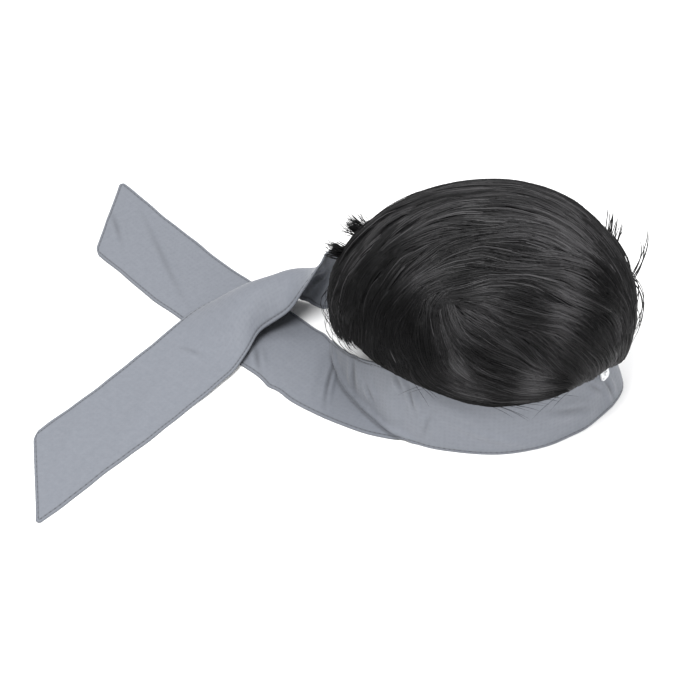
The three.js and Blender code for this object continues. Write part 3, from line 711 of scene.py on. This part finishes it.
def make_sash():
    """The cloth: a closed wall round the sash's middle face, thickest at the hems."""
    near_across = 2 * HEM.inset / SASH.width
    near_along = 2 * HEM.inset / SASH_LENGTH
    across_shares = spaced_edges(SASH_GRID.across, near_across)
    along_shares = finer_shares(spaced_edges(SASH_GRID.along, near_along))
    share, side = np.meshgrid(along_shares, 2 * across_shares - 1, indexing="ij")
    along = sash_along(share, side)
    middle = sash_surface(along, wavy(along, side))
    normal = unit(np.cross(np.gradient(middle, axis=1), np.gradient(middle, axis=0)))
    inset = np.minimum((1 - np.abs(side)) * SASH.width / 2, np.minimum(share, 1 - share) * SASH_LENGTH)
    half = hem_half_thickness(inset)[..., None]
    points, triangles = wall(middle - normal * half, middle + normal * half, wraps=False)
    strip = np.stack([along, side * SASH.width / 2], -1) * STRIP_SCALE
    strip = np.concatenate([strip, strip])
    # Painted shade in the creases and along the hems, kept in the tone attribute of both faces.
    shade = np.tile(np.clip(crease_painted_shade(along, side) + hem_painted_shade(inset), 0, 1).ravel(), 2)
    return make_object("sash_cloth", points, triangles, SASH_CLOTH, uv=strip, tones=shade)


def stitch_lines():
    """Places along and across the sash of every stitch's two ends, on the long edges and the slanted ends."""
    inset_across = 1 - 2 * HEM.inset / SASH.width
    inset_share = HEM.inset / SASH_LENGTH
    count = int(SASH_LENGTH / STITCH.pitch)
    shares = np.linspace(inset_share, 1 - inset_share, count, endpoint=False)
    dash = STITCH.long / SASH_LENGTH
    rows = []
    for side in (-inset_across, inset_across):
        rows.append(np.broadcast_arrays(shares, shares + dash, side, side))
    count = int(SASH.width / STITCH.pitch) - 1
    sides = np.linspace(-inset_across, inset_across, count, endpoint=False)
    dash = STITCH.long / SASH.width * 2
    for end in (inset_share, 1 - inset_share):
        rows.append(np.broadcast_arrays(end, end, sides, sides + dash))
    return [np.concatenate(column) for column in zip(*rows)]


def make_stitches():
    """Short raised threads along the hems on both faces of the sash, but not under it where it lies."""
    share_a, share_b, side_a, side_b = stitch_lines()

    def place(share, side):
        along = sash_along(share, side)
        return sash_surface(along, wavy(along, side))

    start, end = place(share_a, side_a), place(share_b, side_b)
    share, side = (share_a + share_b) / 2, (side_a + side_b) / 2
    across_step = place(share, side + STITCH.side_step) - place(share, side - STITCH.side_step)
    along_step = place(share + STITCH.share_step, side) - place(share - STITCH.share_step, side)
    inner = unit(np.cross(across_step, along_step))
    depth = hem_half_thickness(np.array(HEM.inset))
    shares = np.array([0.0, 0.5, 1.0])
    width = STITCH.wide / 2 * np.array([0.4, 1, 0.4])
    height = STITCH.high * np.array([-0.6, 0.7, -0.6])
    out = np.concatenate([inner, -inner])
    shown = out[:, 2] > STITCH.shown
    a, b, normal = np.tile(start, (2, 1))[shown], np.tile(end, (2, 1))[shown], out[shown]
    line = a[:, None] + (b - a)[:, None] * shares[:, None] + normal[:, None] * (depth + height)[:, None]
    sideways = unit(np.cross(b - a, normal))
    points, triangles = tubes(line, sideways[:, None], normal[:, None], width, STITCH.sides)
    uv = np.zeros((len(points), 2))
    uv[:, 0] = np.tile(np.repeat(shares, STITCH.sides), len(line))
    return make_object("sash_stitches", points, triangles, THREAD, uv=uv * STITCH_SCALE)


# Strands


def tube_triangles(steps, sides):
    """Triangles of one closed tube of rings, ring by ring along it."""
    index = np.arange(steps * sides).reshape(steps, sides)
    index = np.concatenate([index, index[:, :1]], axis=1)
    fans = []
    for ring, order in ((index[0], (0, 1, 2)), (index[-1], (0, 2, 1))):
        fan = np.stack([np.full(sides - 2, ring[0]), ring[1:sides - 1], ring[2:sides]], -1)
        fans.append(fan[:, order])
    return np.concatenate([grid_triangles(index), *fans])


def tubes(paths, side, up, size, sides, turn=0):
    """Points and triangles of closed tubes along paths (tube, step, xyz), with their axes and thickness."""
    count, steps = paths.shape[:2]
    ring = radians(turn + np.arange(sides) * 360 / sides)
    around = side[..., None, :] * np.cos(ring)[:, None] + up[..., None, :] * np.sin(ring)[:, None]
    points = paths[:, :, None] + around * size[..., None, None]
    triangles = tube_triangles(steps, sides) + np.arange(count)[:, None, None] * steps * sides
    return points.reshape(-1, 3), triangles.reshape(-1, 3)


STRAND_SIDES = 3
# Shares along a strand, and of its thickness there.
TAPER = ((0, 0.12, 0.7, 1), (0.6, 1, 0.9, 0.15))
HEAD_MIDDLE = np.array([HEAD_X, 0.0, 70.0])


def make_strands(name, paths, radius, tones):
    """One mesh of closed, tapering strands from paths (strand, step, xyz), toned by strand or step."""
    count, steps = paths.shape[:2]
    along = unit(np.gradient(paths, axis=1))
    side = unit(np.cross(along, paths - HEAD_MIDDLE))
    up = np.cross(side, along)
    taper = np.interp(np.linspace(0, 1, steps), *TAPER)
    size = np.asarray(radius)[:, None] * taper
    points, triangles = tubes(paths, side, up, size, STRAND_SIDES, turn=90)
    tones = np.broadcast_to(tones.reshape(count, -1), (count, steps))
    values = np.repeat(tones[..., None], STRAND_SIDES, axis=-1)
    return make_object(name, points, triangles, HAIR_FIBRE, tones=values)


stroke_start = hair_point(radians(STROKES[:, 0]), radians(STROKES[:, 1]))
stroke_end = hair_point(radians(STROKES[:, 2]), radians(STROKES[:, 3]))
STROKE_PLACE = np.concatenate([stroke_start * (1 - k) + stroke_end * k for k in STROKE_SAMPLES])
STROKE_WAY = np.tile(unit(stroke_end - stroke_start), (len(STROKE_SAMPLES), 1))
SHEEN_AND_SHADE_PLACE = hair_point(radians(SHEEN_AND_SHADE_PATCHES[:, 0]), radians(SHEEN_AND_SHADE_PATCHES[:, 1]))


def closeness(points, places, spread):
    """Weight of every place at every point, falling off over spread."""
    gap = ((points[..., None, :] - places) ** 2).sum(-1)
    return np.exp(-(gap - gap.min(-1, keepdims=True)) / (2 * spread**2))


def lie_of_hair(points):
    """Direction in which the hair lies at points of its outer face, with no sense along it."""
    east, north, _ = hair_axes(*hair_angles(points))
    weights = closeness(points, STROKE_PLACE, STROKE_SPREAD)
    x, y = east @ STROKE_WAY.T, north @ STROKE_WAY.T
    double = np.arctan2((weights * 2 * x * y).sum(-1), (weights * (x * x - y * y)).sum(-1))
    wander = np.sin(points @ WANDER[:, :3].T + WANDER[:, 3]) @ np.radians(WANDER[:, 4])
    angle = double / 2 + wander
    return east * np.cos(angle)[..., None] + north * np.sin(angle)[..., None]


def sense_of_hair(points, way):
    """1 where way runs with the nearby strokes, -1 where it runs against them."""
    weights = closeness(points, STROKE_PLACE, STROKE_SPREAD)
    return np.where((weights * (way @ STROKE_WAY.T)).sum(-1) < 0, -1.0, 1.0)


def follow_hair(points, way, steps, length):
    """Paths along the lie of the hair from points, setting off in the directions of way."""
    path = [points]
    for _ in range(steps):
        next_way = lie_of_hair(points)
        next_way = next_way * np.where((next_way * way).sum(-1) < 0, -1.0, 1.0)[:, None]
        points = hair_point(*hair_angles(points + next_way * length[:, None]))
        way = next_way
        path.append(points)
    return np.stack(path, axis=1)


def painted_light_of_hair(points):
    """Painted highlight and painted shade added to the tone by the patches near points."""
    gap = ((points[..., None, :] - SHEEN_AND_SHADE_PLACE) ** 2).sum(-1)
    return (SHEEN_AND_SHADE_PATCHES[:, 3] * np.exp(-gap / (2 * SHEEN_AND_SHADE_PATCHES[:, 2] ** 2))).sum(-1)


# Clumps of the crown's strands, in mm, with layers as heights over the hair's outer face.
CROWN = Values(
    each=14, back=3, on=6, step=6.2, thick=0.22, broad=1.9, drift=0.8, close=0.65,
    layers=(-1.6, 0.6), uneven=0.25, root=-2.4, tip=0.5, under=-0.8, under_thick=1.7,
    tone=0.16, clump_tone=0.09, strand_tone=0.17,
)
# The crown's strands by part: name, clumps, azimuths, elevations and stretch.
CROWN_PARTS = (
    ("crown_strands_far", 140, (0, 180), (-90, 38), 1.0),
    ("crown_strands_front", 250, (-100, 0), (-90, 38), 1.0),
    ("crown_strands_back", 200, (-180, -100), (-90, 38), 1.0),
    ("crown_strands_top", 252, (-180, 180), (38, 90), 1.35),
)
# Strands past the hair's lower edge: nearness to it, drop a step, azimuths where this sets in and fades.
HANG = Values(near=0.02, step=1.6, around=(108, 130, 200, 212), uneven=0.6, waves=9)
# Steps that spread numbered places evenly, the places tried for each kept, and the lowest place's share.
SPREAD = (0.7548776662, 0.5698402910)
TRIES = 12
LOWER_SHARE = -0.42


def spread_over(path, offset, close):
    """Strands beside a path on the head; offset in mm for each strand, close for each step."""
    way = unit(np.gradient(path, axis=1))
    azimuth, elevation = hair_angles(path)
    sideways = unit(np.cross(hair_axes(azimuth, elevation)[2], way))
    return hair_angles(path + sideways * (offset * close)[..., None])


def crown_seeds(count, azimuths, elevations):
    """Places spread evenly over the hair's outer face between azimuths and elevations in degrees."""
    number = np.arange(count * TRIES)
    azimuth = np.pi * (2 * (0.5 + number * SPREAD[0] % 1) % 2 - 1)
    rise = LOWER_SHARE + (1 - LOWER_SHARE) * (number * SPREAD[1] % 1)
    elevation = np.where(rise > 0, np.arcsin(np.maximum(rise, 0)), -rise / LOWER_SHARE * LOWEST)
    turn, height = np.degrees(azimuth), np.degrees(elevation)
    fits = (turn > azimuths[0]) & (turn <= azimuths[1]) & (height >= elevations[0]) & (height < elevations[1])
    fits = fits & (elevation >= hair_edge_elevation(azimuth))
    return hair_point(azimuth[fits][:count], elevation[fits][:count])


def overhang(azimuth, elevation):
    """How far strands hang past the hair's lower edge, more with each step, at the back and far side."""
    past = np.cumsum(elevation < hair_edge_elevation(azimuth) + HANG.near, axis=1)
    turn = np.degrees(azimuth) % 360
    start, full, fade, end = HANG.around
    return HANG.step * past * smooth(turn, start, full) * (1 - smooth(turn, fade, end))


def make_crown_strands(rng, name, clumps, azimuths, elevations, stretch):
    """Clumps of strands that follow the lie of the hair and close towards their tips."""
    each = CROWN.each
    seeds = crown_seeds(clumps, azimuths, elevations)
    way = lie_of_hair(seeds)
    way = way * sense_of_hair(seeds, way)[:, None]
    length = CROWN.step * stretch * rng.uniform(0.6, 1.15, clumps)
    behind = follow_hair(seeds, -way, CROWN.back, length)
    ahead = follow_hair(seeds, way, CROWN.on, length)
    path = np.repeat(np.concatenate([behind[:, :0:-1], ahead], axis=1), each, axis=0)
    number, steps = path.shape[:2]
    share = np.linspace(0, 1, steps)
    offset = rng.normal(0, CROWN.broad, (number, 1)) + rng.normal(0, CROWN.drift, (number, 1)) * share
    azimuth, elevation = spread_over(path, offset, 1 - CROWN.close * smooth(share, 0.35, 1.0))
    layer = np.repeat(rng.uniform(*CROWN.layers, clumps), each)[:, None]
    layer = layer + rng.normal(0, CROWN.uneven, (number, 1))
    rise = CROWN.root + (layer - CROWN.root) * smooth(share, -0.05, 0.3)
    points = hair_point(azimuth, elevation, rise - CROWN.tip * smooth(share, 0.7, 1))
    varied = 1 + HANG.uneven * np.sin(HANG.waves * offset[:, :1])
    points[..., 2] -= overhang(azimuth, elevation) * varied
    own = np.repeat(rng.normal(0, CROWN.clump_tone, clumps), each)
    own = own + rng.exponential(CROWN.strand_tone, number)
    # A strand's tone: a base, random variation by clump and strand, and the patches' painted highlight and
    # shade.
    tones = np.clip(CROWN.tone + own[:, None] + painted_light_of_hair(points), 0, 1)
    thick = CROWN.thick * rng.uniform(0.7, 1.2, number)
    thick = thick * np.where(layer[:, 0] < CROWN.under, CROWN.under_thick, 1)
    make_strands(name, points, thick, tones)


# Strands of the nape, and the stray hairs among them, in mm and degrees.
NAPE_STRANDS = Values(
    clumps=48, each=20, steps=10, thick=0.32, margin=3.0, tops=(92.0, 122.0), drop=1.0,
    uneven=0.9, broad=1.2, drift=0.5, close=0.3, layers=(-0.8, 1.2), crown_z=(78.0, 100.0),
    root=2.6, tone=0.1,
)
STRAY = Values(
    number=26, after_start=20.0, before_end=2.0, drops=(-9.0, -2.0), top=92.0,
    bows=(2.0, 8.0), sways=(-0.5, 2.5), thick=0.2,
)


def make_nape_strands(rng):
    """Hair that falls from under the crown's back edge and rounds in below, with a few stray hairs."""
    form, stray = NAPE_STRANDS, STRAY.number
    clumps, each = form.clumps, form.each
    number = clumps * each + stray
    wide = NAPE.end - NAPE.start - 2 * form.margin
    middle = NAPE.start + form.margin + wide * (np.arange(clumps) + 0.5) / clumps
    stray_middle = rng.uniform(NAPE.start + STRAY.after_start, NAPE.end - STRAY.before_end, stray)
    middle = np.concatenate([np.repeat(middle, each), stray_middle])[:, None]
    drop = np.repeat(rng.normal(0, form.drop, clumps), each)
    drop = np.concatenate([drop, rng.uniform(*STRAY.drops, stray)])[:, None]
    top = np.repeat(rng.uniform(*form.tops, clumps), each)
    top = np.concatenate([top, np.full(stray, STRAY.top)])[:, None]
    bow = np.concatenate([np.zeros(clumps * each), rng.uniform(*STRAY.bows, stray)])[:, None]
    share = np.linspace(0, 1, form.steps)
    offset = rng.normal(0, form.broad, (number, 1))
    drift = rng.normal(0, form.drift, (number, 1)) * share
    drift = drift + bow * rng.uniform(*STRAY.sways, (number, 1)) * share**2
    azimuth = np.radians(middle + offset * (1 - form.close * smooth(share, 0.4, 1)) + drift)
    tip = np.interp(middle, NAPE_AZIMUTH, NAPE_TIP) + drop + rng.normal(0, form.uneven, (number, 1))
    flick = np.interp(middle, NAPE_AZIMUTH, NAPE_FLICK)
    z = top + (tip - top) * share
    over = plan_radius(HAIR, azimuth) * np.cos(hair_elevation(z))
    under = nape_radius(azimuth, z) + flick * share**3 + bow * np.sin(np.pi * share)
    radius = under + (over - under) * smooth(z, *form.crown_z) + rng.uniform(*form.layers, (number, 1))
    radius = radius - form.root * (1 - smooth(share, 0.05, 0.3))
    # The nape's strands get low tones with random variation; the darker tone is painted shade on the hanging
    # nape.
    tones = np.clip(rng.exponential(form.tone, number), 0, 1)
    thick = np.where(np.arange(number) < clumps * each, form.thick, STRAY.thick)
    thick = thick * rng.uniform(0.75, 1.15, number)
    make_strands("nape_strands", on_head(azimuth, radius, z), thick, tones)


# Loose hair: azimuth, elevation, heading from the far side towards the top, rise from the surface, length,
# fall and pull back to the head at the tip, count, spread of roots and of directions in degrees, thickness.
LOOSE_HAIR = (
    (158, 27, 0, 72, 14, 0, 0, 56, 2.6, 34, 0.26),
    (168, 19, 0, 74, 13, 0, 0, 56, 1.5, 28, 0.28),
    (20, 25, 75, 42, 17, 0, 0, 16, 3.0, 10, 0.42),
    (8, 8, 82, 40, 50, 0, 18, 4, 1.2, 3, 0.5),
    (7, 9, -88, 26, 52, 0, 33, 7, 1.8, 4, 0.4),
    (3, -4, -88, 20, 32, 0, 11, 7, 4.0, 6, 0.36),
    (-85, -54, 0, 8, 30, 5, 0, 7, 9.0, 6, 0.14),
    (-66, -50, 10, 10, 24, 4, 0, 6, 7.0, 6, 0.14),
    (-122, -20, -30, 10, 18, 3, 0, 5, 6.0, 12, 0.14),
    (-118, -34, 212, 10, 22, 7, 0, 2, 3.0, 6, 0.14),
    (-56, -45, 212, 10, 24, 7, 0, 2, 3.0, 6, 0.14),
    (60, 70, 150, 8, 20, 0, 4, 12, 20.0, 30, 0.2),
    (100, -20, 160, 20, 22, 6, 0, 12, 14.0, 20, 0.2),
    (159, 25.5, 0, 72, 9, 0, 0, 36, 1.5, 20, 0.36),
    (168, 19.5, 0, 76, 9, 0, 0, 56, 1.2, 22, 0.4),
)
LOOSE = Values(steps=11, lowest=-62.0, root=-0.5, curl=0.06)


def make_loose_hair(rng):
    """Thin hairs that stand off the outline."""
    paths, thick = [], []
    for azimuth, elevation, heading, rise, length, fall, back, count, roots, turns, radius in LOOSE_HAIR:
        a = radians(azimuth + rng.normal(0, roots, count))
        e = radians(np.maximum(elevation + rng.normal(0, roots, count), LOOSE.lowest))
        root = hair_point(a, e, LOOSE.root)
        east, north, out = hair_axes(a, e)
        turn = radians(heading + rng.normal(0, turns, count))[:, None]
        lift = radians(rise + rng.normal(0, turns / 2, count))[:, None]
        start = np.cos(lift) * (np.cos(turn) * east + np.sin(turn) * north) + np.sin(lift) * out
        share = np.linspace(0, 1, LOOSE.steps)[None, :, None]
        long = length * rng.uniform(0.6, 1.2, (count, 1, 1))
        pull = (-UP * fall - out * back * rng.uniform(0.8, 1.1, (count, 1)))[:, None] * share**2
        curl = (east * rng.normal(0, LOOSE.curl, (count, 1)))[:, None] * long * share**2
        paths.append(root[:, None] + start[:, None] * long * share + pull + curl)
        thick.append(radius * rng.uniform(0.8, 1.2, count))
    paths = np.concatenate(paths)
    make_strands("loose_hair", paths, np.concatenate(thick), rng.uniform(0.0, 0.3, len(paths)))


# Backing of the hair and the cap

BACKING = Values(around=120, up=40, sink=2.2, above_edge=0.5)
NAPE_BASE = Values(around=40, up=24, above_tip=7.0, below_crown=2.0, sink=1.0, inside=0.4)
CAP_GRID = Values(around=96, up=30)


def make_crown_base():
    """The dark dense hair under the strands: a hollow wall round the cap that hangs over the sash."""
    azimuth = all_round(BACKING.around)
    sink = BACKING.sink * smooth(np.linspace(0, 1, BACKING.up), -0.05, 0.1)
    outer = hair_point(azimuth, up_to_top(hair_edge_elevation(azimuth), BACKING.up), -sink)
    edge_z, cap_z = edge_at(azimuth, "hair_z"), edge_at(azimuth, "cap_z")
    reach = np.minimum(edge_at(azimuth, "reach"), plan_radius(HAIR, azimuth)) - HAIR.skirt
    skirt = on_head(azimuth, reach, edge_z)
    on_cap = cap_point(azimuth, cap_elevation(edge_z), HAIR.inside)
    rim = np.where((edge_z < cap_z)[..., None], skirt, on_cap)
    start = cap_elevation(np.maximum(cap_z, edge_z) + BACKING.above_edge)
    above = cap_point(azimuth, up_to_top(start, BACKING.up - 1), HAIR.inside)
    points, triangles = wall(outer, np.concatenate([rim, above], axis=1), wraps=True)
    base = make_object("crown_base", points, triangles, HAIR_BACKING, weld=True)
    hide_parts("crown_hair")


def make_nape_base():
    """The dark dense hair behind the cap."""
    azimuth = radians(np.linspace(NAPE.start, NAPE.end, NAPE_BASE.around))[:, None]
    low = np.interp(np.degrees(azimuth), NAPE_AZIMUTH, NAPE_TIP) + NAPE_BASE.above_tip
    high = edge_at(azimuth, "hair_z") - NAPE_BASE.below_crown
    z = low + (high - low) * np.linspace(0, 1, NAPE_BASE.up)
    outer = on_head(azimuth, nape_radius(azimuth, z) - NAPE_BASE.sink, z)
    inner = cap_point(azimuth, cap_elevation(np.maximum(z, edge_at(azimuth, "cap_z"))), NAPE_BASE.inside)
    inner[..., 2] = z
    points, triangles = wall(outer, inner, wraps=False)
    base = make_object("nape_base", points, triangles, HAIR_BACKING, weld=True)
    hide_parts("nape_hair")


def make_cap():
    azimuth = all_round(CAP_GRID.around)
    elevation = up_to_top(cap_elevation(edge_at(azimuth, "cap_z")), CAP_GRID.up)
    outer, inner = cap_point(azimuth, elevation), cap_point(azimuth, elevation, -CAP.wall)
    points, triangles = wall(outer, inner, wraps=True)
    cap = make_object("cap_shell", points, triangles, CAP_KNIT, weld=True)
    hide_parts("wig_cap")


# Stage

CAMERA = Values(elevation=42.0, distance=2000.0, target=(-103.0, 38.0, 0.0), pixel_focus=2721.0)
PHOTO_WIDTH = 700
FLOOR_HALF = 6.0
WORLD_STRENGTH = 0.75
# Lamps: name, place, target, size and power.
LIGHTS = (
    ("key", (-0.35, -0.85, 2.0), (0.03, 0, 0.05), 1.0, 50.0),
    ("fill", (0.9, -0.9, 1.0), (0.1, 0, 0.06), 0.6, 8.0),
    ("top", (0.25, 0.5, 1.7), (0.05, 0, 0.1), 0.8, 9.0),
)


def make_camera():
    data = bpy.data.cameras.new("camera")
    data.lens = CAMERA.pixel_focus / PHOTO_WIDTH * data.sensor_width
    camera = new_object("camera", data)
    elevation = math.radians(CAMERA.elevation)
    back = np.array([0.0, -math.cos(elevation), math.sin(elevation)])
    camera.location = scene_points(np.array(CAMERA.target) + CAMERA.distance * back)
    camera.rotation_euler = (math.pi / 2 - elevation, 0, 0)
    bpy.context.scene.camera = camera


def make_area_light(name, place, target, size, power):
    data = bpy.data.lights.new(name, "AREA")
    data.shape = "DISK"
    data.size = size
    data.energy = power
    light = new_object(name, data)
    light.location = place
    light.rotation_euler = (Vector(target) - Vector(place)).to_track_quat("-Z", "Y").to_euler()


def make_stage():
    mesh = bpy.data.meshes.new("floor")
    h = FLOOR_HALF
    mesh.from_pydata([(-h, -h, 0), (h, -h, 0), (h, h, 0), (-h, h, 0)], [], [(0, 1, 2, 3)])
    paper = {"base_color": (0.93, 0.93, 0.93, 1), "roughness": 0.9, "specular_ior_level": 0.1}
    mesh.materials.append(new_material("floor_paper", **paper)[0])
    new_object("floor", mesh)
    world = bpy.data.worlds.new("studio")
    world.use_nodes = True
    sockets = world.node_tree.nodes["Background"].inputs
    sockets["Color"].default_value = (1, 1, 1, 1)
    sockets["Strength"].default_value = WORLD_STRENGTH
    bpy.context.scene.world = world
    for light in LIGHTS:
        make_area_light(*light)
    bpy.context.scene.view_settings.view_transform = "Standard"


SASH_CLOTH = cloth_material("sash_cloth", (0.142, 0.153, 0.176), (0.162, 0.173, 0.197))
THREAD = cloth_material("sash_thread", (0.05, 0.053, 0.062), (0.075, 0.08, 0.092))
HAIR_FIBRE = hair_material("hair_fibre", (
    (0.0, (0.0015, 0.0015, 0.0018)), (0.45, (0.0125, 0.0122, 0.0129)), (1.0, (0.072, 0.0702, 0.073))))
HAIR_BACKING = knit_material("hair_backing", (0.005, 0.005, 0.0053), (0.011, 0.011, 0.0115), 1.2)
CAP_KNIT = knit_material("cap_knit", (0.008, 0.008, 0.009), (0.03, 0.03, 0.032), 1.6)

rng = np.random.default_rng(seed=7)
make_camera()
make_stage()
sash = make_sash()
stitches = make_stitches()
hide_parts("sash")
make_cap()
make_crown_base()
make_nape_base()
for part in CROWN_PARTS:
    make_crown_strands(rng, *part)
make_nape_strands(rng)
make_loose_hair(rng)
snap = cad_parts["snap_fastener"]
snap.data.materials.clear()
snap.data.materials.append(plastic_material("clear_plastic"))
